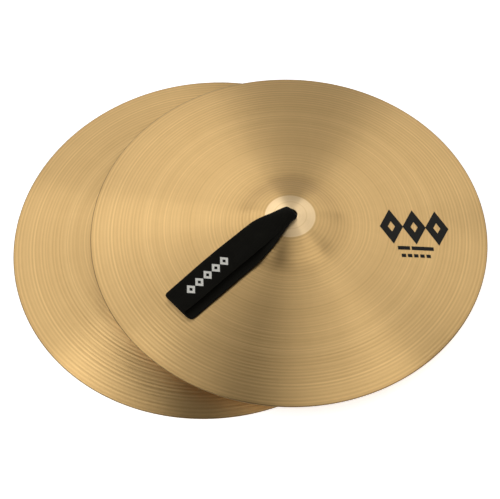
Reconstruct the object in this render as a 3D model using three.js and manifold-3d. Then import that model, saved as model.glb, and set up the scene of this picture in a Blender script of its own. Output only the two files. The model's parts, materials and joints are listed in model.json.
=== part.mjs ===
// A pair of strapped hand cymbals, both bell-up: the rear one flat on the ground, the front one lapped
// over it and leaning on its crown. Millimetres, +Z up. Every cymbal carries a webbing strap whose tail
// goes down through the centre hole, through two washers, and is sewn round a steel cross pin.
import * as THREE from "three";
import { mergeVertices } from "three/addons/utils/BufferGeometryUtils.js";
import Module from "manifold-3d";

const wasm = await Module();
wasm.setup();

// ---- driving dimensions ----
const RIM_RADIUS = 177.8; // 14 in across
const WALL = 1.25;
const EDGE_LAND = 1.6; // width of the flat ring that the rim stands on
const BOW_RISE = 34; // height of the shallow bow, without the bell
const HEIGHT = 45; // rim plane to the top of the bell, were it not pierced
const BELL_FOOT = 48; // radius where the bell meets the bow
const FILLET_REACH = 7; // half-width of the soft junction between bell and bow
const HOLE_RADIUS = 6.35;
const TURNS = 64; // facets round a cymbal

const REAR_X = -35.3;
const FRONT_X = 35.9;
const LEAN = THREE.MathUtils.degToRad(5.6); // the front cymbal leans on the rear bell
const LEAN_DIRECTION = THREE.MathUtils.degToRad(30.2);
const RIM_CLEARANCE = 0.2; // between the leaning rim and the ground
const FRONT_STRAP_DIRECTION = THREE.MathUtils.degToRad(225);
const REAR_STRAP_DIRECTION = 0;

const WEB = 1.6; // webbing thickness
const LOOP_START = 11.8; // distance of the loop from the cymbal's axis
const LOOP_END = 129;
const GAP = 0.35; // between pieces that touch

const WASHER_BOTTOM = 40; // heights of the parts under the bell, above the rim plane
const LEATHER_RADIUS = 20;
const LEATHER_BORE = 6.8;
const DISC_RADIUS = 12.5;
const DISC_THICK = 1.5;
const WHIPPING_TALL = 3;
const TAIL_HALF_THICK = 2.8;
const TAIL_HALF_WIDE = 5.2;
const EYE_RADIUS = 4.9;
const PIN_RADIUS = 2.5;
const PIN_LENGTH = 22;
const PIN_CHAMFER = 0.5;

// ---- materials ----
const bronze = new THREE.MeshStandardMaterial({ color: 0xb8985f, roughness: 0.32, metalness: 1 });
const webbing = new THREE.MeshStandardMaterial({ color: 0x14130f, roughness: 0.85, metalness: 0 });
const leather = new THREE.MeshStandardMaterial({ color: 0x6e4a2c, roughness: 0.7, metalness: 0 });
const steel = new THREE.MeshStandardMaterial({ color: 0xb9bdc1, roughness: 0.35, metalness: 1 });
const thread = new THREE.MeshStandardMaterial({ color: 0x24231f, roughness: 0.9, metalness: 0 });

// ---- profile of a cymbal ----
const bowRadius = (RIM_RADIUS ** 2 + BOW_RISE ** 2) / (2 * BOW_RISE);
const bowHeight = (r) => BOW_RISE - bowRadius + Math.sqrt(bowRadius ** 2 - r ** 2);
const bellRise = HEIGHT - bowHeight(BELL_FOOT);
const bellRadius = (BELL_FOOT ** 2 + bellRise ** 2) / (2 * bellRise);
const bellCentre = HEIGHT - bellRadius;
const bellHeight = (r) => bellCentre + Math.sqrt(bellRadius ** 2 - r ** 2);

// Height of the outer face above the rim plane. Between bell and bow the two arcs cross-fade.
function outerHeight(r) {
  if (r <= BELL_FOOT - FILLET_REACH) return bellHeight(r);
  if (r >= BELL_FOOT + FILLET_REACH) return bowHeight(r);
  const start = BELL_FOOT - FILLET_REACH;
  const end = BELL_FOOT + FILLET_REACH;
  const slope = (f, x) => (f(x + 0.01) - f(x - 0.01)) / 0.02;
  const t = (r - start) / (end - start);
  const span = end - start;
  return (
    (2 * t ** 3 - 3 * t ** 2 + 1) * bellHeight(start) +
    (t ** 3 - 2 * t ** 2 + t) * span * slope(bellHeight, start) +
    (3 * t ** 2 - 2 * t ** 3) * bowHeight(end) +
    (t ** 3 - t ** 2) * span * slope(bowHeight, end)
  );
}

const STATIONS = [HOLE_RADIUS, 14, 22, 30, 37, 42, 46, 50, 54, 62, 80, 100, 120, 140, 160, RIM_RADIUS];

function cymbal() {
  const outer = STATIONS.map((r) => new THREE.Vector2(r, outerHeight(r)));
  const inner = STATIONS.map((r, i) => {
    const here = outer[i];
    const next = outer[Math.min(i + 1, outer.length - 1)];
    const last = outer[Math.max(i - 1, 0)];
    const fall = (last.y - next.y) / (next.x - last.x);
    return new THREE.Vector2(here.x, here.y - WALL * Math.hypot(1, fall));
  });
  // The rim ends square on the ground plane of the cymbal.
  const edge = inner.length - 1;
  outer[edge].y = WALL;
  inner[edge] = new THREE.Vector2(RIM_RADIUS, 0);
  inner[edge - 1].y = Math.max(inner[edge - 1].y, 0);
  inner.splice(edge, 0, new THREE.Vector2(RIM_RADIUS - EDGE_LAND, 0));
  const profile = [...inner, ...outer.reverse()];
  profile.push(profile[0].clone());
  return turned(profile, TURNS);
}

// ---- helpers for geometry ----
function turned(profile, segments) {
  return closed(new THREE.LatheGeometry(profile, segments).rotateX(Math.PI / 2));
}

function toManifold(geometry) {
  const bare = geometry.clone();
  bare.deleteAttribute("normal");
  bare.deleteAttribute("uv");
  const merged = mergeVertices(bare, 1e-4);
  return new wasm.Manifold(
    new wasm.Mesh({
      numProp: 3,
      vertProperties: new Float32Array(merged.attributes.position.array),
      triVerts: new Uint32Array(merged.index.array),
    }),
  );
}

function fromManifold(solid) {
  const mesh = solid.getMesh();
  const geometry = new THREE.BufferGeometry();
  geometry.setAttribute("position", new THREE.BufferAttribute(mesh.vertProperties, 3));
  geometry.setIndex(new THREE.BufferAttribute(mesh.triVerts, 1));
  geometry.computeVertexNormals();
  return geometry;
}

const closed = (geometry) => fromManifold(toManifold(geometry));

// A strip of webbing follows stations of {s, z, turn, thick, wide, side}: s and z place the middle, turn is
// the heading (0 up, 90 outwards, 270 inwards), side shifts it across. Corners are cut by a small chamfer.
function strip(stations) {
  const points = [];
  for (const { s, z, turn, thick, wide, side } of stations) {
    const heading = THREE.MathUtils.degToRad(turn);
    const chamfer = 0.3 * thick;
    const section = [
      [thick, wide - chamfer],
      [thick, chamfer - wide],
      [thick - chamfer, -wide],
      [chamfer - thick, -wide],
      [-thick, chamfer - wide],
      [-thick, wide - chamfer],
      [chamfer - thick, wide],
      [thick - chamfer, wide],
    ];
    for (const [n, w] of section) {
      points.push(s - Math.cos(heading) * n, side + w, z + Math.sin(heading) * n);
    }
  }
  const ring = 8;
  const last = (stations.length - 1) * ring;
  const faces = [];
  for (let i = 0; i < stations.length - 1; i++) {
    for (let j = 0; j < ring; j++) {
      const a = i * ring + j;
      const b = i * ring + ((j + 1) % ring);
      faces.push(a, b, a + ring, b, b + ring, a + ring);
    }
  }
  for (let j = 1; j < ring - 1; j++) {
    faces.push(0, j + 1, j);
    faces.push(last, last + j, last + j + 1);
  }
  const geometry = new THREE.BufferGeometry();
  geometry.setAttribute("position", new THREE.BufferAttribute(new Float32Array(points), 3));
  geometry.setIndex(faces);
  geometry.computeVertexNormals();
  return geometry;
}

// Straight-line interpolation in a short table of [position, value].
function along(table, x) {
  const i = Math.max(1, table.findIndex(([at]) => at >= x));
  const [x0, y0] = table[i - 1];
  const [x1, y1] = table[i];
  return y0 + ((y1 - y0) * (x - x0)) / (x1 - x0);
}

// ---- strap ----
// How far the under layer floats above the bronze, how far apart the two layers are, and their half-width.
const LIFT = [[LOOP_START, GAP], [38, GAP], [55, 1.5], [75, 1.2], [105, 0.6], [LOOP_END, GAP]];
const APART = [[LOOP_START, 1.75], [28, 2.4], [50, 5], [90, 5], [115, 4.4], [LOOP_END, 4]];
const HALF_WIDTH = [[LOOP_START, 9.4], [20, 11.2], [28, 12.6], [38, 13.1], [60, 13.4], [LOOP_END, 13.8]];
const UPPER_SIDE = [[LOOP_START, -0.6], [28, -3.4], [40, -4.1], [65, -4], [LOOP_END, -1.9]];
const LOWER_SIDE = [[LOOP_START, -0.2], [20, 1.4], [33, 3.2], [50, 4.2], [105, 4.7], [LOOP_END, 4.2]];
const LOOP_STATIONS = [LOOP_START, 17, 22, 28, 33, 38, 43, 48, 54, 62, 72, 84, 96, 108, 119, LOOP_END];
const FOLD_STEPS = 6;

const slopeAngle = (s) => {
  const fall = outerHeight(s - 1) - outerHeight(s + 1);
  return THREE.MathUtils.radToDeg(Math.atan(fall / 2));
};
const lowerMiddle = (s) => outerHeight(s) + along(LIFT, s) + WEB / 2;

function strapLoop() {
  const half = (s) => ({ thick: WEB / 2, wide: along(HALF_WIDTH, s) });
  const out = LOOP_STATIONS.map((s) => ({
    s,
    z: lowerMiddle(s),
    turn: 90 + slopeAngle(s),
    side: along(LOWER_SIDE, s),
    ...half(s),
  }));
  const back = LOOP_STATIONS.map((s) => ({
    s,
    z: lowerMiddle(s) + along(APART, s),
    turn: -90 + slopeAngle(s),
    side: along(UPPER_SIDE, s),
    ...half(s),
  })).reverse();
  const foldRadius = along(APART, LOOP_END) / 2;
  const tilt = slopeAngle(LOOP_END);
  const fold = [];
  for (let i = 1; i < FOLD_STEPS; i++) {
    const share = i / FOLD_STEPS;
    const turn = 90 + tilt - 180 * share;
    const heading = THREE.MathUtils.degToRad(turn);
    fold.push({
      s: LOOP_END + foldRadius * Math.cos(heading),
      z: lowerMiddle(LOOP_END) + foldRadius - foldRadius * Math.sin(heading),
      turn,
      side: THREE.MathUtils.lerp(along(LOWER_SIDE, LOOP_END), along(UPPER_SIDE, LOOP_END), share),
      ...half(LOOP_END),
    });
  }
  return closed(strip([...out, ...fold, ...back]));
}

// Stations of the tail from the centre hole to the foot of the loop: [s, height over the crown, turn,
// half-thickness, half-width]. The front one humps over freely; the rear one is pressed flat.
const FREE_BEND = [
  [0, 0.6, 0, 2.8, 5.2],
  [0.3, 2.2, 25, 2.8, 6.3],
  [1.5, 3.3, 55, 2.7, 7.1],
  [3.7, 3.4, 80, 2.4, 7.7],
  [7.5, 2.2, 97, 1.9, 8.6],
  [LOOP_START - GAP, 1.35, 98, 1.65, 9.3],
];
const PRESSED_BEND = [
  [0, 0.2, 0, 2.8, 5.2],
  [0.5, 1.3, 40, 2.1, 6],
  [2.6, 1.8, 80, 1.6, 7.2],
  [7.5, 1.65, 94, 1.6, 8.5],
  [LOOP_START - GAP, 1.35, 98, 1.6, 9.3],
];

const whippingTop = WASHER_BOTTOM - GAP - DISC_THICK - GAP;
const pinHeight = whippingTop - WHIPPING_TALL - GAP - EYE_RADIUS;

function strapTail(bend) {
  const straight = [pinHeight, HEIGHT - 1].map((z) => ({
    s: 0,
    z,
    turn: 0,
    thick: TAIL_HALF_THICK,
    wide: TAIL_HALF_WIDE,
    side: 0,
  }));
  const curved = bend.map(([s, rise, turn, thick, wide]) => ({
    s,
    z: HEIGHT + rise,
    turn,
    thick,
    wide,
    side: 0,
  }));
  const ribbon = toManifold(strip([...straight, ...curved]));
  const eye = crossCylinder(EYE_RADIUS, 2 * TAIL_HALF_WIDE);
  const bore = crossCylinder(PIN_RADIUS + GAP, 4 * TAIL_HALF_WIDE);
  return fromManifold(ribbon.add(eye).subtract(bore));
}

function crossCylinder(radius, length) {
  return toManifold(new THREE.CylinderGeometry(radius, radius, length, 32).translate(0, 0, pinHeight));
}

// ---- parts under the bell ----
function leatherWasher() {
  const domed = bellRadius - WALL - GAP;
  const top = (r) => bellCentre + Math.sqrt(domed ** 2 - r ** 2);
  const radii = [LEATHER_RADIUS, 15, 10.5, LEATHER_BORE];
  const profile = [
    new THREE.Vector2(LEATHER_BORE, WASHER_BOTTOM),
    new THREE.Vector2(LEATHER_RADIUS, WASHER_BOTTOM),
    ...radii.map((r) => new THREE.Vector2(r, top(r) - 0.05)),
    new THREE.Vector2(LEATHER_BORE, WASHER_BOTTOM),
  ];
  return turned(profile, 40);
}

function steelDisc() {
  const top = WASHER_BOTTOM - GAP;
  const bottom = top - DISC_THICK;
  const round = 0.3;
  const profile = [
    new THREE.Vector2(HOLE_RADIUS, bottom),
    new THREE.Vector2(DISC_RADIUS - round, bottom),
    new THREE.Vector2(DISC_RADIUS, bottom + round),
    new THREE.Vector2(DISC_RADIUS, top - round),
    new THREE.Vector2(DISC_RADIUS - round, top),
    new THREE.Vector2(HOLE_RADIUS, top),
    new THREE.Vector2(HOLE_RADIUS, bottom),
  ];
  return turned(profile, 40);
}

// Thread wound round the two sewn ends of the webbing, just above the pin.
function whipping() {
  const sleeve = (grow, tall) =>
    toManifold(
      new THREE.BoxGeometry(2 * (TAIL_HALF_THICK + grow), 2 * (TAIL_HALF_WIDE + grow), tall)
        .translate(0, 0, whippingTop - WHIPPING_TALL / 2),
    );
  return fromManifold(sleeve(GAP + 0.9, WHIPPING_TALL).subtract(sleeve(GAP, 2 * WHIPPING_TALL)));
}

function crossPin() {
  const half = PIN_LENGTH / 2;
  const profile = [
    new THREE.Vector2(0, -half),
    new THREE.Vector2(PIN_RADIUS - PIN_CHAMFER, -half),
    new THREE.Vector2(PIN_RADIUS, PIN_CHAMFER - half),
    new THREE.Vector2(PIN_RADIUS, half - PIN_CHAMFER),
    new THREE.Vector2(PIN_RADIUS - PIN_CHAMFER, half),
    new THREE.Vector2(0, half),
  ];
  return closed(new THREE.LatheGeometry(profile, 32));
}

// ---- assembly ----
function part(name, geometry, material) {
  const mesh = new THREE.Mesh(geometry, material);
  mesh.name = name;
  return mesh;
}

function strappedCymbal(side, strapDirection, bend) {
  const whole = new THREE.Group();
  whole.name = `${side}_assembly`;
  whole.add(part(`${side}_cymbal`, cymbal(), bronze));
  const strap = new THREE.Group();
  strap.name = `${side}_strap`;
  strap.rotation.z = strapDirection;
  strap.add(part(`${side}_strap_loop`, strapLoop(), webbing));
  strap.add(part(`${side}_strap_tail`, strapTail(bend), webbing));
  strap.add(part(`${side}_leather_washer`, leatherWasher(), leather));
  strap.add(part(`${side}_steel_washer`, steelDisc(), steel));
  strap.add(part(`${side}_thread_whipping`, whipping(), thread));
  const pin = part(`${side}_cross_pin`, crossPin(), steel);
  pin.position.z = pinHeight;
  strap.add(pin);
  whole.add(strap);
  return whole;
}

const rear = strappedCymbal("rear", REAR_STRAP_DIRECTION, PRESSED_BEND);
rear.position.x = REAR_X;

const front = strappedCymbal("front", FRONT_STRAP_DIRECTION, FREE_BEND);
const leanAxis = new THREE.Vector3(-Math.sin(LEAN_DIRECTION), Math.cos(LEAN_DIRECTION), 0);
front.quaternion.setFromAxisAngle(leanAxis, LEAN);
front.position.set(FRONT_X, 0, RIM_RADIUS * Math.sin(LEAN) + RIM_CLEARANCE);

const pair = new THREE.Group();
pair.name = "hand_cymbals";
pair.add(rear, front);

export default pair;
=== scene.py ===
import json
import math

import bpy
import numpy as np
from mathutils import Matrix, Vector


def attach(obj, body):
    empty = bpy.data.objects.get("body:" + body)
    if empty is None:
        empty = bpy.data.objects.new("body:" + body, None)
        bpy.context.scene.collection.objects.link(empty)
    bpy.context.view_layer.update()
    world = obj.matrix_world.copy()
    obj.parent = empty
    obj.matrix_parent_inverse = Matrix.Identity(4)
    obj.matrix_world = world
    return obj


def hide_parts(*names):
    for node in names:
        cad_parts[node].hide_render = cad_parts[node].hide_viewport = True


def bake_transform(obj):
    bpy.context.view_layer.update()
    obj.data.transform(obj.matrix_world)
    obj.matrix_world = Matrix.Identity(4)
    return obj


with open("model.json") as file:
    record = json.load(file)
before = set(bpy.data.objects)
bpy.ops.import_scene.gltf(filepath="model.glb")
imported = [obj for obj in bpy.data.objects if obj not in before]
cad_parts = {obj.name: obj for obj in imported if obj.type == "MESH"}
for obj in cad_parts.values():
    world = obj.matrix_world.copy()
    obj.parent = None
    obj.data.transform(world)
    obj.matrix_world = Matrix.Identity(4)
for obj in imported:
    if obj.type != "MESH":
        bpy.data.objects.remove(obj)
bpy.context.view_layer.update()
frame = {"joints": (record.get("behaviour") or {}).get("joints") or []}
JOINTS = {j["name"]: j for j in frame["joints"]}

# Shapes are in millimetres in each cymbal's own frame: axis up, rim plane at zero.
# Materials, floor, lights and camera are in metres.
MM = 0.001
RIM_RADIUS = 177.8
WALL = 1.25
BOW_RISE = 34.0
HEIGHT = 45.0
BELL_FOOT = 48.0
FILLET_REACH = 7.0
HOLE_RADIUS = 6.35
CROWN_RADIUS = 22.7
PITCH = 3.1  # of the turning ridges
RIDGES = ((PITCH, 1.0), (5.6, 0.45), (3.7, 0.35), (2.3, 0.25))  # pitch and share of each wave
RIDGE_HEIGHT = 0.045
EDGE_FADE = 3.0  # the ridges fade out over this last stretch to the rim
FLARE_START = 110.0  # from here to the rim the upper face rises to one wall above the bow
SWIVEL_HEIGHT = 43.0  # where the record puts the swivel joint on the axis
AROUND = 200  # steps round a cymbal
TOP_STEP, UNDER_STEP = 0.6, 0.9  # along the profile, on the upper and lower face

# ---- profile ----
BOW_RADIUS = (RIM_RADIUS**2 + BOW_RISE**2) / (2 * BOW_RISE)


def bow(r):
    return BOW_RISE - BOW_RADIUS + math.sqrt(BOW_RADIUS**2 - r**2)


BELL_RISE = HEIGHT - bow(BELL_FOOT)
BELL_RADIUS = (BELL_FOOT**2 + BELL_RISE**2) / (2 * BELL_RISE)


def bell(r):
    return HEIGHT - BELL_RADIUS + math.sqrt(BELL_RADIUS**2 - r**2)


def outer(r):
    """Height of the bell and the bow, joined by a fillet, without the turning ridges."""
    start, end = BELL_FOOT - FILLET_REACH, BELL_FOOT + FILLET_REACH
    nudge = 0.01
    if r <= start:
        return bell(r)
    if r >= end:
        return bow(r)
    t, span = (r - start) / (end - start), end - start
    slope_a = (bell(start + nudge) - bell(start - nudge)) / (2 * nudge)
    slope_b = (bow(end + nudge) - bow(end - nudge)) / (2 * nudge)
    return (
        (2 * t**3 - 3 * t**2 + 1) * bell(start)
        + (t**3 - 2 * t**2 + t) * span * slope_a
        + (3 * t**2 - 2 * t**3) * bow(end)
        + (t**3 - t**2) * span * slope_b
    )


def smooth(low, high, x):
    t = min(1.0, max(0.0, (x - low) / (high - low)))
    return t * t * (3 - 2 * t)


def groove(r):
    """Height of the turning ridges: none on the crown, most on the bell, least on the bow."""
    on_bow = smooth(50, 62, r) * (1 - smooth(105, 135, r))
    depth = 1.3 - 0.3 * smooth(36, 50, r) - 0.65 * on_bow
    uneven = sum(share * math.sin(2 * math.pi * r / pitch + pitch) for pitch, share in RIDGES)
    return RIDGE_HEIGHT * smooth(CROWN_RADIUS, CROWN_RADIUS + 2, r) * depth * uneven


def face(r):
    """The upper face: the ridges fade out at the edge, which is one wall thick."""
    fade = 1 - smooth(RIM_RADIUS - EDGE_FADE, RIM_RADIUS, r)
    return outer(r) + WALL * smooth(FLARE_START, RIM_RADIUS, r) + groove(r) * fade


def under_face(r):
    """The lower face, one wall below the upper one and never below the rim plane."""
    fall = (outer(max(r - 1, 0)) - outer(min(r + 1, RIM_RADIUS))) / 2
    return max(0.0, face(r) - WALL * math.hypot(1, fall))


# ---- places ----
def cymbal_matrix(side):
    """Where a cymbal's own frame stands."""
    joint = JOINTS[f"{side}_strap_swivel"]
    axis = Vector(joint["axis"]).normalized()
    origin = Vector(joint["pos_m"]) - axis * SWIVEL_HEIGHT * MM
    turn = Vector((0, 0, 1)).rotation_difference(axis).to_matrix().to_4x4()
    return Matrix.Translation(origin) @ turn


def strap_matrix(side):
    """The cymbal's frame turned so that +X points along the strap."""
    axis = Vector(JOINTS[f"{side}_strap_swivel"]["axis"]).normalized()
    across = -Vector(JOINTS[f"{side}_strap_raise"]["axis"]).normalized()
    outwards = across.cross(axis).normalized()
    matrix = Matrix((outwards, across, axis)).transposed().to_4x4()
    matrix.translation = cymbal_matrix(side).translation
    return matrix


# ---- mesh helpers ----
def new_object(name, points, faces, material, matrix, uvs=None):
    mesh = bpy.data.meshes.new(name)
    mesh.from_pydata([tuple(c * MM for c in p) for p in points], [], faces)
    mesh.materials.append(material)
    if uvs is not None:
        layer = mesh.uv_layers.new(name="webbing")
        index = np.zeros(len(mesh.loops), np.int32)
        mesh.loops.foreach_get("vertex_index", index)
        layer.data.foreach_set("uv", np.asarray(uvs, np.float32)[index].ravel())
    mesh.polygons.foreach_set("use_smooth", [True] * len(mesh.polygons))
    mesh.validate()
    mesh.update()
    obj = bpy.data.objects.new(name, mesh)
    bpy.context.scene.collection.objects.link(obj)
    obj.matrix_world = matrix
    return obj


def lathe(profile, steps):
    """Points and faces of a closed profile turned round the axis."""
    points, faces = [], []
    count = len(profile)
    for i in range(steps):
        a = 2 * math.pi * i / steps
        for r, z in profile:
            points.append((r * math.cos(a), r * math.sin(a), z))
    for i in range(steps):
        here, there = i * count, ((i + 1) % steps) * count
        for j in range(count):
            k = (j + 1) % count
            faces.append((here + j, there + j, there + k, here + k))
    return points, faces


def spline(table, per_span):
    """Catmull-Rom through the rows of a table."""
    rows = np.asarray(table, float)
    padded = np.vstack([2 * rows[0] - rows[1], rows, 2 * rows[-1] - rows[-2]])
    out = []
    for i in range(1, len(padded) - 2):
        p0, p1, p2, p3 = padded[i - 1 : i + 3]
        for k in range(per_span):
            t = k / per_span
            out.append(
                0.5
                * (
                    2 * p1
                    + (p2 - p0) * t
                    + (2 * p0 - 5 * p1 + 4 * p2 - p3) * t**2
                    + (3 * p1 - p0 - 3 * p2 + p3) * t**3
                )
            )
    out.append(rows[-1])
    return np.array(out)


# ---- material helpers ----
class Nodes:
    """A short way to write a node tree."""

    def __init__(self, name):
        self.material = bpy.data.materials.new(name)
        self.material.use_nodes = True
        self.tree = self.material.node_tree
        self.shader = self.tree.nodes["Principled BSDF"]

    def add(self, kind, inputs=None, **options):
        node = self.tree.nodes.new(kind)
        for key, value in options.items():
            setattr(node, key, value)
        for key, value in (inputs or {}).items():
            self.put(node.inputs[key], value)
        return node

    def put(self, socket, value):
        if isinstance(value, bpy.types.NodeSocket):
            self.tree.links.new(value, socket)
        else:
            socket.default_value = value

    def math(self, operation, a, b=0.0, c=0.0):
        node = self.add("ShaderNodeMath", {0: a, 1: b, 2: c}, operation=operation)
        return node.outputs[0]

    def noise(self, scale, detail, rough, vector):
        inputs = {"Vector": vector, "Scale": scale, "Detail": detail, "Roughness": rough}
        return self.add("ShaderNodeTexNoise", inputs).outputs[0]

    def noise_along(self, value, scale, detail, rough):
        """Noise that changes with one number only."""
        inputs = {"W": value, "Scale": scale, "Detail": detail, "Roughness": rough}
        return self.add("ShaderNodeTexNoise", inputs, noise_dimensions="1D").outputs[0]

    def spread(self, value, low, high, to_low=0.0, to_high=1.0):
        inputs = {0: value, 1: low, 2: high, 3: to_low, 4: to_high}
        return self.add("ShaderNodeMapRange", inputs).outputs[0]

    def vary(self, base, pattern, share):
        """base, raised and lowered by a share of a pattern that runs from 0 to 1."""
        return self.math("MULTIPLY_ADD", self.math("SUBTRACT", pattern, 0.5), share, base)

    def mix(self, share, a, b):
        node = self.add("ShaderNodeMix", data_type="RGBA")
        self.put(node.inputs[0], share)
        self.put(node.inputs[6], a)
        self.put(node.inputs[7], b)
        return node.outputs[2]

    def bump(self, height, distance, strength):
        inputs = {"Height": height, "Distance": distance, "Strength": strength}
        return self.add("ShaderNodeBump", inputs).outputs[0]

    def object_place(self):
        return self.add("ShaderNodeTexCoord").outputs["Object"]

    def set(self, **values):
        for key, value in values.items():
            self.put(self.shader.inputs[key.replace("_", " ")], value)


BRONZE_DARK, BRONZE_LIGHT = (0.56, 0.355, 0.143, 1), (0.80, 0.542, 0.240, 1)
CROWN_TONE = (0.88, 0.66, 0.385, 1)
# The rim wall's colour is painted shade.
RIM_SHADE = (0.07, 0.047, 0.02, 1)


def bronze_material():
    n = Nodes("turned_bronze")
    place = n.object_place()
    xyz = n.add("ShaderNodeSeparateXYZ", {0: place})
    x, y = xyz.outputs[0], xyz.outputs[1]
    radius = n.math("SQRT", n.math("ADD", n.math("MULTIPLY", x, x), n.math("MULTIPLY", y, y)))
    fine = n.noise_along(radius, 1900.0, 3.0, 0.7)
    medium = n.noise_along(radius, 620.0, 2.0, 0.5)
    coarse = n.noise_along(radius, 60.0, 2.0, 0.5)
    # Painted highlight and shade on the turning ridges: light and dark rings in the colour, fainter on
    # the bow than on the bell and near the rim.
    ridge = n.math("SINE", n.math("MULTIPLY", radius, 2 * math.pi / (PITCH * MM)))
    on_bell = n.spread(radius, 0.050, 0.062, 1.4, 0.6)
    depth = n.math("MAXIMUM", on_bell, n.spread(radius, 0.105, 0.135, 0.0, 1.0))
    turned = n.math("MULTIPLY", ridge, depth)
    # Faint streaks that fan out from the centre: partly the tool's chatter, partly painted sheen.
    inverse = n.math("DIVIDE", 1.0, n.math("MAXIMUM", radius, 0.001))
    fan_x = n.math("MULTIPLY", x, inverse)
    fan_y = n.math("MULTIPLY", y, inverse)
    fan_z = n.math("MULTIPLY", radius, 4.0)
    fan = n.add("ShaderNodeCombineXYZ", {0: fan_x, 1: fan_y, 2: fan_z}).outputs[0]
    chatter_and_sheen = n.noise(9.0, 4.0, 0.6, fan)
    haze = n.noise(14.0, 4.0, 0.55, place)
    # The polished crown, a ring turned in it, painted shade on the last stretch before the edge and
    # painted shade on the rim wall.
    crown = n.spread(radius, 0.0222, 0.0230, 1.0, 0.0)
    ring = n.math("SUBTRACT", n.spread(radius, 0.0140, 0.0144), n.spread(radius, 0.0149, 0.0153))
    edge_shade = n.spread(radius, 0.1745, 0.1768)
    rim = n.spread(radius, 0.1769, 0.1776)
    tone = n.vary(0.5, medium, 0.8)
    tone = n.vary(tone, coarse, 0.45)
    # The painted highlight and shade of the ridges goes into the tone here.
    tone = n.math("MULTIPLY_ADD", turned, 0.17, tone)
    # Partly painted sheen: the chatter streaks.
    tone = n.vary(tone, chatter_and_sheen, 0.22)
    tone = n.vary(tone, haze, 0.16)
    colour = n.mix(tone, BRONZE_DARK, BRONZE_LIGHT)
    # Painted shade: the bell is darkened, fading out over its foot.
    painted_bell_shade = n.spread(radius, 0.046, 0.058, 0.4, 0.0)
    colour = n.mix(painted_bell_shade, colour, BRONZE_DARK)
    colour = n.mix(n.math("MULTIPLY", crown, 0.8), colour, CROWN_TONE)
    colour = n.mix(n.math("MULTIPLY", ring, 0.25), colour, BRONZE_DARK)
    # Painted shade on the last stretch before the edge.
    colour = n.mix(n.math("MULTIPLY", edge_shade, 0.5), colour, BRONZE_DARK)
    # Painted shade: the rim wall is made almost black.
    colour = n.mix(n.math("MULTIPLY", rim, 0.75), colour, RIM_SHADE)
    rough = n.math("MULTIPLY_ADD", fine, 0.12, 0.31)
    rough = n.vary(rough, haze, 0.06)
    rough = n.math("MULTIPLY_ADD", crown, -0.06, rough)
    # The brushed lines all but vanish on the polished crown.
    lines = n.math("MULTIPLY_ADD", fine, 0.5, medium)
    lines = n.math("MULTIPLY", lines, n.math("MULTIPLY_ADD", crown, -0.97, 1.0))
    n.set(Base_Color=colour, Metallic=1.0, Roughness=rough, Anisotropic=0.9)
    n.set(Anisotropic_Rotation=0.25, Normal=n.bump(lines, 0.00008, 0.6))
    tangent = n.add("ShaderNodeTangent", direction_type="RADIAL", axis="Z")
    n.put(n.shader.inputs["Tangent"], tangent.outputs[0])
    return n.material


RIB, COLUMN_PAIR = 0.00125, 0.0032  # of the weave, in metres
# Shaded and lit tones of the one black yarn, for painted shade in the weave's troughs and painted
# light on its ribs.
WEBBING_SHADED, WEBBING_LIT = (0.0012, 0.0010, 0.0005, 1), (0.0050, 0.0044, 0.0023, 1)
WEBBING_WORN, WEBBING_EDGE = (0.0085, 0.0077, 0.0050, 1), (0.0070, 0.0062, 0.0040, 1)


def webbing_material():
    n = Nodes("black_webbing")
    uv = n.add("ShaderNodeUVMap", uv_map="webbing").outputs[0]
    xyz = n.add("ShaderNodeSeparateXYZ", {0: uv})
    along, across = xyz.outputs[0], xyz.outputs[1]
    # Yarns: ribs every 1.25 mm along, in columns 1.6 mm wide that are shifted by half a rib.
    column = n.math("MULTIPLY", across, 2 * math.pi / COLUMN_PAIR)
    shift = n.math("MULTIPLY", n.math("SIGN", n.math("SINE", column)), math.pi / 2)
    rib = n.math("SINE", n.math("ADD", n.math("MULTIPLY", along, 2 * math.pi / RIB), shift))
    rib = n.math("MULTIPLY_ADD", rib, 0.5, 0.5)
    trough = n.math("ABSOLUTE", n.math("SINE", column))
    weave = n.math("MULTIPLY", rib, n.math("POWER", trough, 0.35))
    place = n.object_place()
    fuzz = n.noise(2600.0, 3.0, 0.7, place)
    wear = n.noise(75.0, 4.0, 0.6, place)
    height = n.math("ADD", weave, n.math("MULTIPLY", fuzz, 0.35))
    edge = n.spread(n.math("ABSOLUTE", across), 0.0122, 0.0136)
    # Painted shade and light: darker in the weave's troughs, lighter on its ribs.
    colour = n.mix(weave, WEBBING_SHADED, WEBBING_LIT)
    colour = n.mix(n.math("MULTIPLY", n.spread(wear, 0.45, 0.75), 0.35), colour, WEBBING_WORN)
    colour = n.mix(n.math("MULTIPLY", edge, 0.4), colour, WEBBING_EDGE)
    rough = n.math("MULTIPLY_ADD", fuzz, 0.2, 0.62)
    n.set(Base_Color=colour, Roughness=rough, Specular_IOR_Level=0.06)
    n.set(Sheen_Weight=0.01, Sheen_Roughness=0.5, Normal=n.bump(height, 0.00022, 0.55))
    return n.material


def leather_material():
    n = Nodes("washer_leather")
    place = n.object_place()
    grain = {"Vector": place, "Scale": 900.0}
    cells = n.add("ShaderNodeTexVoronoi", grain, feature="DISTANCE_TO_EDGE").outputs[0]
    patch = n.noise(120.0, 5.0, 0.6, place)
    colour = n.mix(n.spread(patch, 0.3, 0.7), (0.115, 0.052, 0.020, 1), (0.24, 0.125, 0.055, 1))
    colour = n.mix(n.spread(cells, 0.0, 0.12, 0.5, 0.0), colour, (0.05, 0.022, 0.01, 1))
    n.set(Base_Color=colour, Roughness=n.spread(patch, 0.3, 0.7, 0.75, 0.5))
    n.set(Normal=n.bump(n.spread(cells, 0.0, 0.3), 0.00015, 0.6))
    return n.material


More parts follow.
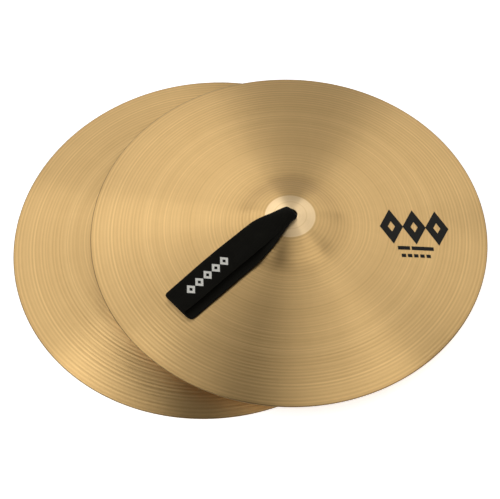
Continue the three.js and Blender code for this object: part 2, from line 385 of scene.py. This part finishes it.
def steel_material():
    n = Nodes("plated_steel")
    place = n.object_place()
    brushed = n.add("ShaderNodeMapping", {"Vector": place, "Scale": (1.0, 22.0, 1.0)}).outputs[0]
    lines = n.noise(160.0, 4.0, 0.7, brushed)
    spots = n.noise(420.0, 4.0, 0.6, place)
    colour = n.mix(n.spread(spots, 0.35, 0.65), (0.44, 0.45, 0.46, 1), (0.62, 0.63, 0.65, 1))
    n.set(Base_Color=colour, Metallic=1.0, Roughness=n.spread(lines, 0.3, 0.7, 0.24, 0.42))
    n.set(Normal=n.bump(lines, 0.00004, 0.5))
    return n.material


def thread_material():
    n = Nodes("waxed_thread")
    twist = n.add(
        "ShaderNodeTexWave",
        {"Vector": n.object_place(), "Scale": 900.0, "Distortion": 1.0},
        wave_type="BANDS",
        bands_direction="DIAGONAL",
    ).outputs[1]
    # Painted shade and light: the twist is darker between its strands and lighter on them.
    colour = n.mix(twist, (0.010, 0.009, 0.007, 1), (0.035, 0.032, 0.026, 1))
    n.set(Base_Color=colour, Roughness=n.spread(twist, 0.0, 1.0, 0.6, 0.8))
    n.set(Normal=n.bump(twist, 0.00012, 0.6))
    return n.material


def ink_material(name, tone, thin, roughness):
    """Printed ink, with a second tone where it is thin."""
    n = Nodes(name)
    speck = n.noise(900.0, 4.0, 0.65, n.object_place())
    n.set(Base_Color=n.mix(n.spread(speck, 0.35, 0.8), tone, thin))
    n.set(Roughness=n.spread(speck, 0.3, 0.7, roughness, roughness + 0.15))
    n.set(Specular_IOR_Level=0.15, Normal=n.bump(speck, 0.00004, 0.4))
    return n.material


BRONZE = bronze_material()
WEBBING = webbing_material()
LEATHER = leather_material()
STEEL = steel_material()
THREAD = thread_material()
BLACK_INK = ink_material("black_ink", (0.006, 0.006, 0.005, 1), (0.016, 0.014, 0.010, 1), 0.4)
LIGHT_INK = ink_material("light_ink", (0.62, 0.61, 0.56, 1), (0.36, 0.35, 0.31, 1), 0.7)


# ---- cymbals ----
def make_cymbal(side):
    top = [(r, face(r)) for r in np.arange(HOLE_RADIUS + 0.4, RIM_RADIUS - 0.6, TOP_STEP)]
    hole_top, hole_bottom = face(HOLE_RADIUS), face(HOLE_RADIUS) - WALL
    # The rim and the edges of the hole are eased.
    ending = [
        (RIM_RADIUS - 0.35, WALL + 0.08),
        (RIM_RADIUS - 0.08, WALL - 0.15),
        (RIM_RADIUS, WALL - 0.5),
        (RIM_RADIUS, 0.35),
        (RIM_RADIUS - 0.15, 0.08),
        (RIM_RADIUS - 0.5, 0),
    ]
    inwards = np.arange(RIM_RADIUS - 1.6, HOLE_RADIUS + 0.5, -UNDER_STEP)
    under = [(r, under_face(r)) for r in inwards]
    start = [
        (HOLE_RADIUS, hole_bottom + 0.25),
        (HOLE_RADIUS, hole_top - 0.3),
        (HOLE_RADIUS + 0.12, hole_top - 0.06),
    ]
    points, faces = lathe(start + top + ending + under, AROUND)
    faces = [f[::-1] for f in faces]
    name = f"{side}_turned_cymbal"
    obj = new_object(name, points, faces, BRONZE, cymbal_matrix(side))
    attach(obj, f"{side}_cymbal")
    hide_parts(f"{side}_cymbal")


# ---- printed marks: plain lozenges and bars ----
def grid(columns, rows, place):
    """A sheet of quads, each corner put where place(u, v) says, with u and v from 0 to 1."""
    points = [place(i / columns, j / rows) for j in range(rows + 1) for i in range(columns + 1)]
    faces = []
    for j in range(rows):
        for i in range(columns):
            a = j * (columns + 1) + i
            faces.append((a, a + 1, a + columns + 2, a + columns + 1))
    return points, faces


def lozenge_ring(cx, cy, half_wide, half_tall, hollow):
    """Four-cornered ring as a strip from its outer to its inner outline."""

    def place(u, v):
        corner = [(1, 0), (0, 1), (-1, 0), (0, -1), (1, 0)]
        k = min(int(u * 4), 3)
        t = u * 4 - k
        x = corner[k][0] * (1 - t) + corner[k + 1][0] * t
        y = corner[k][1] * (1 - t) + corner[k + 1][1] * t
        size = 1 + (hollow - 1) * v
        return cx + x * half_wide * size, cy + y * half_tall * size

    return grid(32, 6, place)


def bar(cx, cy, wide, tall):
    return grid(12, 2, lambda u, v: (cx + (u - 0.5) * wide, cy + (v - 0.5) * tall))


def merged(shapes):
    points, faces = [], []
    for shape_points, shape_faces in shapes:
        base = len(points)
        points += shape_points
        faces += [tuple(i + base for i in f) for f in shape_faces]
    return points, faces


INK = 0.09  # how far the printed mark stands above the bronze


def make_emblem():
    centre, turn = (110.6, 14.4), math.radians(12)
    shapes = [lozenge_ring(20.6 * i, 0, 10.6, 18.5, 0.3) for i in (-1, 0, 1)]
    shapes += [bar(-12, -22.5, 11, 3.8), bar(5, -22.5, 20, 3.8)]
    shapes += [bar(-13 + 5.6 * i, -30.3, 4.0, 3.4) for i in range(5)]
    flat, faces = merged(shapes)
    points = []
    for x, y in flat:
        px = centre[0] + x * math.cos(turn) - y * math.sin(turn)
        py = centre[1] + x * math.sin(turn) + y * math.cos(turn)
        points.append((px, py, face(math.hypot(px, py)) + INK))
    obj = new_object("front_print", points, faces, BLACK_INK, cymbal_matrix("front"))
    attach(obj, "front_cymbal")


# ---- straps ----
SECTION = 9  # points across each face of the webbing
SPAN_STEPS = 9  # points between two rows
WEBBING_HALF = 0.0139  # metres, the half-width that the weave is fitted to

# Rows: distance from the axis, height, half-thickness, half-width, sideways shift, droop of the edges.
FREE_TOP = [
    [-1.42, 43.0, 1.3, 5.2, 0, 0],
    [-1.7, 45.4, 1.3, 5.9, 0, 0.1],
    [-2.1, 47.6, 1.35, 6.9, 0, 1.1],
    [-0.8, 49.6, 1.35, 7.5, 0, 2.0],
    [3.0, 50.3, 1.3, 8.1, -0.1, 2.3],
    [8.0, 49.6, 1.2, 9.0, -0.5, 2.2],
    [14.0, 48.1, 1.1, 10.1, -1.3, 2.0],
    [21.0, 46.3, 0.95, 11.5, -2.4, 1.5],
    [29.0, 43.9, 0.85, 12.7, -3.5, 0.9],
    [38.0, 41.3, 0.8, 13.1, -4.0, 0.45],
    [50.0, 38.5, 0.8, 13.2, -4.1, 0.25],
    [62.0, 36.5, 0.8, 13.3, -4.0, 0.2],
    [78.0, 33.9, 0.8, 13.4, -3.7, 0.2],
    [95.0, 30.7, 0.8, 13.5, -3.3, 0.2],
    [112.0, 26.6, 0.8, 13.4, -3.0, 0.15],
    [124.0, 23.4, 0.8, 13.1, -3.2, 0.1],
    [129.2, 21.9, 0.8, 12.9, -3.3, 0.05],
]
FOLD = [
    [130.7, 21.3, 0.8, 13.1, -2.8, 0],
    [131.2, 20.3, 0.8, 13.5, -1.5, 0],
    [130.6, 19.0, 0.8, 14.1, 1.2, 0],
    [128.6, 18.1, 0.8, 14.0, 3.8, 0],
]
FREE_BOTTOM = [
    [124.0, 19.1, 0.8, 13.8, 4.4, 0],
    [112.0, 22.0, 0.8, 13.7, 4.5, 0],
    [95.0, 26.3, 0.8, 13.6, 4.3, 0],
    [78.0, 29.6, 0.8, 13.5, 3.8, 0],
    [62.0, 32.1, 0.8, 13.4, 3.4, 0],
    [50.0, 34.2, 0.8, 13.2, 3.2, 0],
    [38.0, 38.2, 0.8, 12.7, 2.9, 0.2],
    [29.0, 41.6, 0.85, 12.0, 2.4, 0.4],
    [21.0, 43.9, 0.95, 10.6, 1.6, 0.5],
    [14.0, 45.45, 1.05, 9.3, 0.6, 0.5],
    [8.0, 46.45, 1.2, 8.4, 0.1, 0.4],
    [4.0, 46.7, 1.25, 7.4, 0, 0.3],
    [1.9, 45.5, 1.3, 5.9, 0, 0.1],
    [1.42, 43.0, 1.3, 5.2, 0, 0],
]
# Below the hole the two ends part and go round the pin.
EYE_DOWN = [
    [1.42, 36.0, 1.3, 5.2, 0, 0],
    [2.0, 33.4, 1.15, 5.2, 0, 0],
    [3.7, 30.8, 0.95, 5.2, 0, 0],
    [3.2, 27.0, 0.95, 5.2, 0, 0],
    [0.0, 25.35, 0.95, 5.2, 0, 0],
]
EYE_UP = [
    [-3.2, 27.0, 0.95, 5.2, 0, 0],
    [-3.7, 30.8, 0.95, 5.2, 0, 0],
    [-2.0, 33.4, 1.15, 5.2, 0, 0],
    [-1.42, 36.0, 1.3, 5.2, 0, 0],
]


def pressed(rows, top):
    """The same webbing squeezed flat over the crown by the cymbal lying on it."""
    press_from, press_to = 10, 34
    above_bell = 2.45 if top else 1.0
    thinnest = 0.68
    out = []
    for s, z, thick, wide, side, droop in rows:
        near = 1 - smooth(press_from, press_to, s)
        if z > 44.2 and s < press_to:
            level = outer(s) + above_bell if s > 0.9 else min(z, 46.6)
            z = z * (1 - near) + level * near
            thick = thick * (1 - near) + min(thick, thinnest) * near
            droop *= 1 - 0.9 * near
            s = max(s, -1.3) if top else s
        out.append([s, z, thick, wide, side, droop])
    return out


def strap_rows(side):
    """Rows of the whole closed loop: up through the hole, out, back and down to the pin."""
    top, bottom = FREE_TOP, FREE_BOTTOM
    if side == "rear":
        top, bottom = pressed(top, True), pressed(bottom, False)
    rows = EYE_UP + top + FOLD + bottom + EYE_DOWN
    loop = [rows[-1]] + rows
    return spline(loop, SPAN_STEPS)[:-1]


def section_points(thick, wide, droop):
    """Outline of the webbing across its width, starting on the upper face."""

    def sag(t):
        return -droop * abs(t) ** 2.2

    flat = 0.93 * wide
    steps = np.linspace(1, -1, SECTION)
    upper = [(flat * t, thick + sag(t)) for t in steps]
    lower = [(flat * t, -thick + sag(t)) for t in steps[::-1]]
    edge = [(0.985 * wide, 0.62 * thick), (wide, 0), (0.985 * wide, -0.62 * thick)]
    right_edge = [(-w, sag(1) + n) for w, n in edge]
    left_edge = [(w, sag(1) - n) for w, n in edge]
    return upper + right_edge + lower + left_edge


def make_strap(side):
    rows = strap_rows(side)
    count = len(rows)
    path = rows[:, :2]
    ahead = np.roll(path, -1, axis=0) - np.roll(path, 1, axis=0)
    ahead /= np.linalg.norm(ahead, axis=1)[:, None]
    lengths = np.linalg.norm(np.diff(path, axis=0, append=path[:1]), axis=1)
    travelled = np.concatenate([[0], np.cumsum(lengths)[:-1]])
    points, uvs = [], []
    for i in range(count):
        s, z, thick, wide, shift, droop = rows[i]
        # Small swells, as worn webbing has.
        wave = 0.16 * math.sin(travelled[i] / 9.0) * smooth(20, 45, s)
        normal = (-ahead[i][1], ahead[i][0])
        for w, n in section_points(thick, wide, droop):
            n += wave * (w / wide)
            points.append((s + normal[0] * n, shift + w, z + normal[1] * n))
            uvs.append((travelled[i] * MM, w / wide * WEBBING_HALF))
    ring = len(points) // count
    faces = []
    for i in range(count):
        k = (i + 1) % count
        for j in range(ring):
            m = (j + 1) % ring
            faces.append((i * ring + j, k * ring + j, k * ring + m, i * ring + m))
    matrix = strap_matrix(side)
    obj = new_object(f"{side}_webbing_strap", points, faces, WEBBING, matrix, uvs)
    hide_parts(f"{side}_strap_loop", f"{side}_strap_tail")
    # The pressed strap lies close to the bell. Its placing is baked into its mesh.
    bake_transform(obj)


def make_strap_print():
    """Five lozenges on the upper layer of the front strap."""
    above = 0.92  # from the middle of the webbing to the ink
    aside = 0.3
    rows = strap_rows("front")
    begin = int(np.argmax(rows[:, 0] > 20))
    end = int(np.argmax(rows[:, 0]))
    upper = rows[begin:end]
    shapes = [lozenge_ring(73.8 + 9.7 * i, 0, 4.6, 5.6, 0.38) for i in range(5)]
    flat, faces = merged(shapes)
    points = []
    for s, w in flat:
        before, z, after = np.interp((s - 1, s, s + 1), upper[:, 0], upper[:, 1])
        slope = math.atan2(after - before, 2)
        shift = np.interp(s, upper[:, 0], upper[:, 4])
        along, up = s - math.sin(slope) * above, z + math.cos(slope) * above
        points.append((along, shift + w + aside, up))
    obj = new_object("front_strap_print", points, faces, LIGHT_INK, strap_matrix("front"))
    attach(obj, "front_loop")


# ---- parts under the bell ----
WASHER_STEPS = 96
PIN_HEIGHT = 29.55


def make_leather_washer(side):
    """Flat below, domed above to fit the inside of the bell."""
    domed = BELL_RADIUS - WALL - 0.45
    base, hole, reach = 40.0, 6.9, 19.9

    def top(r):
        return HEIGHT - BELL_RADIUS + math.sqrt(domed**2 - r**2)

    profile = [(hole, base + 0.3), (hole + 0.3, base + 0.02)]
    profile += [(r, base + 0.06 * math.sin(r * 1.9)) for r in (9, 11, 13, 15, 17)]
    profile += [(reach - 0.5, base + 0.05), (reach, base + 0.35)]
    profile += [(reach, top(reach) - 0.3), (reach - 0.5, top(reach - 0.5) - 0.05)]
    profile += [(r, top(r) - 0.02) for r in (17, 14, 11, 9)]
    profile += [(hole + 0.4, top(hole + 0.4) - 0.05), (hole, top(hole) - 0.4)]
    points, faces = lathe(profile, WASHER_STEPS)
    # The cut edge of leather is never quite round.
    uneven = []
    for x, y, z in points:
        size = 1 + 0.004 * math.sin(5 * math.atan2(y, x))
        uneven.append((x * size, y * size, z))
    name = f"{side}_leather_pad_washer"
    obj = new_object(name, uneven, faces, LEATHER, strap_matrix(side))
    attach(obj, f"{side}_tail")
    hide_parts(f"{side}_leather_washer")


def make_steel_washer(side):
    """A flat ring with its four edges rounded over."""
    top, bottom, inner_edge, outer_edge = 39.65, 38.15, 6.35, 12.5
    profile = [
        (inner_edge, bottom + 0.35),
        (inner_edge + 0.1, bottom + 0.1),
        (inner_edge + 0.35, bottom),
        (outer_edge - 0.6, bottom),
        (outer_edge - 0.15, bottom + 0.12),
        (outer_edge, bottom + 0.4),
        (outer_edge, top - 0.4),
        (outer_edge - 0.15, top - 0.12),
        (outer_edge - 0.6, top),
        (inner_edge + 0.35, top),
        (inner_edge + 0.1, top - 0.1),
        (inner_edge, top - 0.35),
    ]
    points, faces = lathe(profile, WASHER_STEPS)
    obj = new_object(f"{side}_plated_washer", points, faces, STEEL, strap_matrix(side))
    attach(obj, f"{side}_tail")
    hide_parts(f"{side}_steel_washer")


def make_whipping(side):
    """Six turns of thread wound round the two sewn ends."""
    turns, per_turn, ring = 6, 40, 8
    half_x, half_y, lowest, climb = 3.35, 5.75, 35.05, 2.5
    thread = 0.26  # radius
    points, faces = [], []
    total = turns * per_turn
    for i in range(total + 1):
        a = 2 * math.pi * i / per_turn
        c, s = math.cos(a), math.sin(a)
        reach = (abs(c) ** 5 + abs(s) ** 5) ** -0.2
        x, y = half_x * c * reach, half_y * s * reach
        z = lowest + climb * i / total
        for k in range(ring):
            b = 2 * math.pi * k / ring
            out = thread * math.cos(b)
            points.append((x + c * out, y + s * out, z + thread * math.sin(b)))
    for i in range(total):
        for k in range(ring):
            m = (k + 1) % ring
            faces.append((i * ring + k, (i + 1) * ring + k, (i + 1) * ring + m, i * ring + m))
    faces.append(tuple(range(ring)))
    faces.append(tuple(total * ring + k for k in reversed(range(ring))))
    obj = new_object(f"{side}_wound_thread", points, faces, THREAD, strap_matrix(side))
    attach(obj, f"{side}_tail")
    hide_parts(f"{side}_thread_whipping")


def make_pin(side):
    """A pin with rounded ends, lying across the webbing."""
    profile = [(0.01, -11), (1.6, -10.98), (2.15, -10.8), (2.45, -10.4), (2.5, -10.0)]
    profile += [(2.5, z) for z in (-5, 0, 5, 10)]
    profile += [(2.45, 10.4), (2.15, 10.8), (1.6, 10.98), (0.01, 11)]
    points, faces = lathe(profile, 48)
    points = [(x, z, y + PIN_HEIGHT) for x, y, z in points]
    obj = new_object(f"{side}_round_pin", points, faces, STEEL, strap_matrix(side))
    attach(obj, f"{side}_tail")
    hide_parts(f"{side}_cross_pin")


for side in ("rear", "front"):
    make_cymbal(side)
    make_strap(side)
    make_leather_washer(side)
    make_steel_washer(side)
    make_whipping(side)
    make_pin(side)
make_emblem()
make_strap_print()


# ---- floor, light and camera ----
def make_floor():
    half, level = 6, -0.0003
    corners = [(-half, -half, level), (half, -half, level), (half, half, level), (-half, half, level)]
    mesh = bpy.data.meshes.new("floor")
    mesh.from_pydata(corners, [], [(0, 1, 2, 3)])
    n = Nodes("floor_paper")
    n.set(Base_Color=(0.93, 0.93, 0.93, 1), Roughness=0.9, Specular_IOR_Level=0.0)
    n.set(Emission_Color=(1, 1, 1, 1), Emission_Strength=0.6)
    mesh.materials.append(n.material)
    obj = bpy.data.objects.new("floor", mesh)
    bpy.context.scene.collection.objects.link(obj)


LIGHT_DISTANCE = 2.4


def softbox(name, azimuth, elevation, wide, tall, brightness):
    """A panel facing the object: degrees anticlockwise from +X and up, metres, and its radiance."""
    light = bpy.data.lights.new(name, "AREA")
    light.shape = "RECTANGLE"
    light.size, light.size_y = wide, tall
    light.energy = math.pi * wide * tall * brightness
    obj = bpy.data.objects.new(name, light)
    turn, rise = math.radians(azimuth), math.radians(elevation)
    level = math.cos(rise)
    towards = Vector((math.cos(turn) * level, math.sin(turn) * level, math.sin(rise)))
    obj.location = towards * LIGHT_DISTANCE
    obj.rotation_euler = towards.to_track_quat("Z", "Y").to_euler()
    bpy.context.scene.collection.objects.link(obj)


make_floor()
softbox("left_bank", 168, 36, 3.2, 2.4, 1.05)
softbox("left_front_bank", 218, 34, 1.9, 2.0, 1.6)
softbox("back_left_bank", 114, 30, 1.2, 1.8, 0.95)
softbox("back_right_bank", 65, 28, 1.1, 1.6, 0.95)
softbox("right_back_bank", 29, 40, 1.5, 2.4, 0.82)
softbox("right_front_bank", -40, 42, 2.2, 2.3, 1.1)
softbox("top_right_bank", 0, 72, 0.9, 1.4, 0.5)
softbox("back_bank", 92, 50, 0.8, 0.9, 1.4)

WORLD_STRENGTH = 0.14
world = bpy.data.worlds.new("studio")
world.use_nodes = True
background = world.node_tree.nodes["Background"]
background.inputs[0].default_value = (1, 1, 1, 1)
background.inputs[1].default_value = WORLD_STRENGTH
bpy.context.scene.world = world
bpy.context.scene.view_settings.view_transform = "Standard"

# The camera looks down at 58 degrees from in front, a little to the right, through a long lens.
DISTANCE = 20.0
ELEVATION = math.radians(57.70)
AZIMUTH = math.radians(10.93)
ROLL = math.radians(-7.0)
LENS = 1606.8
AIM = Vector((-0.0353, 0, 0))
SHIFT_RIGHT, SHIFT_UP = 0.0347, 0.0007

back = Vector(
    (
        math.sin(AZIMUTH) * math.cos(ELEVATION),
        -math.cos(AZIMUTH) * math.cos(ELEVATION),
        math.sin(ELEVATION),
    )
)
right = Vector((math.cos(AZIMUTH), math.sin(AZIMUTH), 0))
up = back.cross(right)
rolled_right = right * math.cos(ROLL) + up * math.sin(ROLL)
rolled_up = up * math.cos(ROLL) - right * math.sin(ROLL)
camera_data = bpy.data.cameras.new("camera")
camera_data.lens = LENS
camera_data.sensor_width = 36
camera_data.clip_end = 50
camera = bpy.data.objects.new("camera", camera_data)
turned = Matrix((rolled_right, rolled_up, back)).transposed().to_4x4()
turned.translation = AIM + back * DISTANCE + rolled_right * SHIFT_RIGHT + rolled_up * SHIFT_UP
camera.matrix_world = turned
bpy.context.scene.collection.objects.link(camera)
bpy.context.scene.camera = camera
